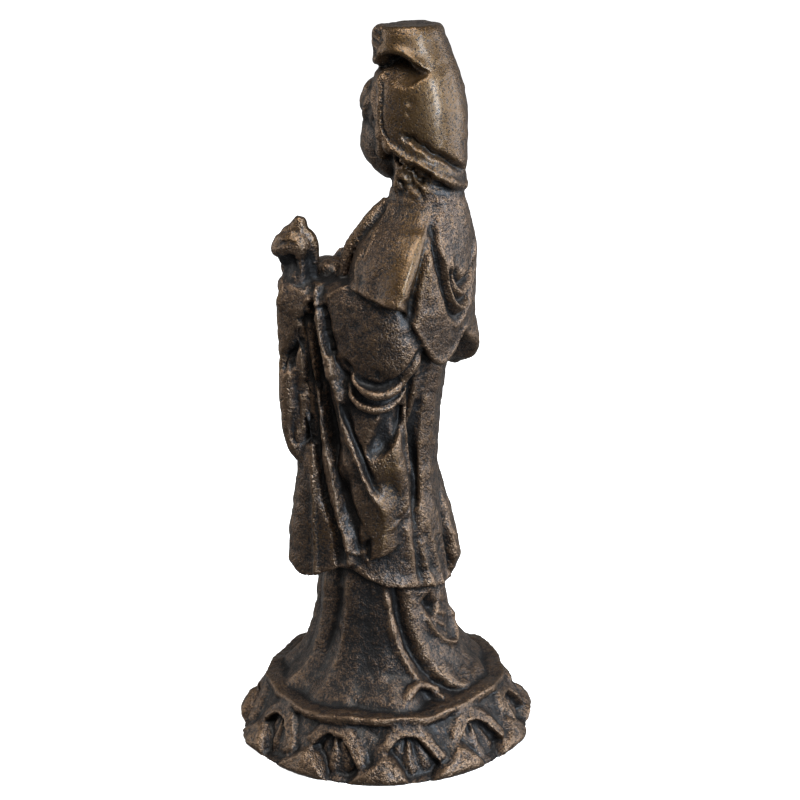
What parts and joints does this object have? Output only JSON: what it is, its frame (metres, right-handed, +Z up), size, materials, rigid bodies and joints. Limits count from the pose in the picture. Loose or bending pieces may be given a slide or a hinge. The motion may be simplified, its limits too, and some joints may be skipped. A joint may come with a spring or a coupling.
{
  "type": "guanyin figure",
  "caption": "Standing hooded and robed figure with its left hand raised, holding a closed bud, cast together with a round lotus base.",
  "frame": {"origin": "centre of the base's flat underside", "axes": "+Z up along the figure, -Y the way its body faces, +X its left"},
  "size_m": [0.0503, 0.0503, 0.12],
  "materials": {
    "bronze": "dark brown patina, rubbed to golden brown on the high parts, satin"
  },
  "bodies": {
    "root": {"guanyin_casting": "bronze"}
  },
  "joints": []
}
